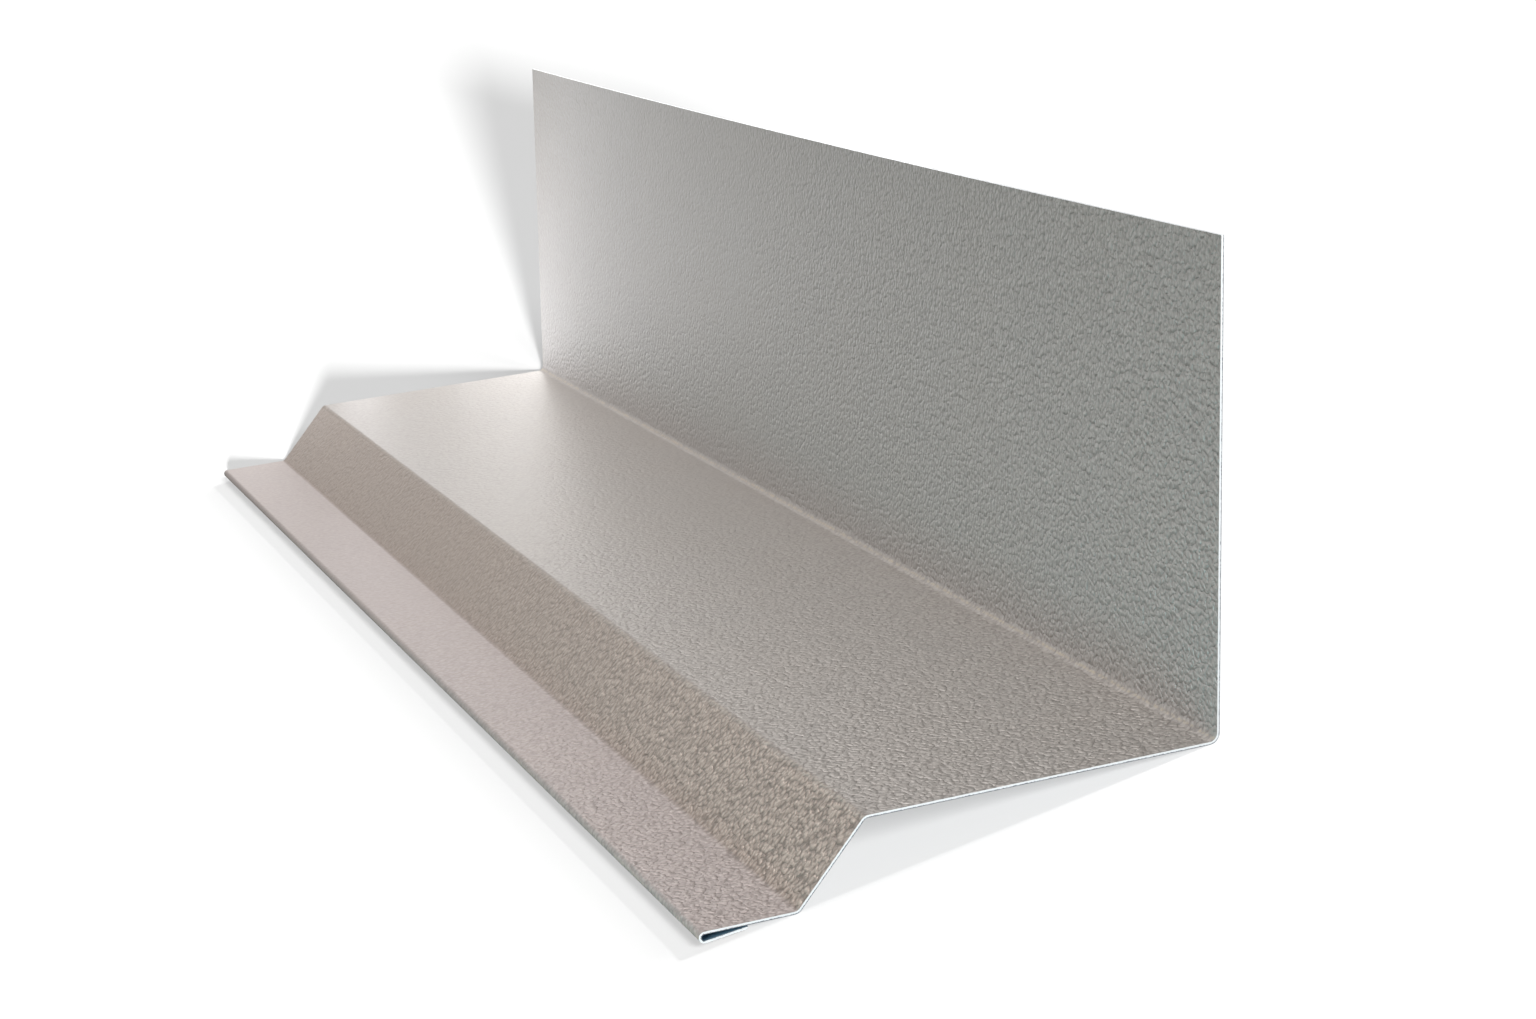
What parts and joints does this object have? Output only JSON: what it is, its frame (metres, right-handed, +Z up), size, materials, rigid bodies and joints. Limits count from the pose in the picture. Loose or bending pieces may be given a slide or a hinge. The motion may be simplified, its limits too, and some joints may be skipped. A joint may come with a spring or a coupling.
{
  "type": "sidewall flashing",
  "caption": "Folded steel strip that seals a roof against a side wall: upright wall leg, level deck, sloped drop and a foot flange with an open hem.",
  "frame": {"origin": "middle of the length and of the width, on the floor that the piece rests on", "axes": "+X along the length, +Y from the hemmed edge to the wall leg, +Z up as the piece lies unheld"},
  "size_m": [0.6096, 0.1744, 0.1232],
  "materials": {
    "coated_steel": "satin metallic coat in a warm silver grey, with a fine crinkled grain"
  },
  "bodies": {
    "root": {"flashing_sheet": "coated_steel"}
  },
  "joints": []
}
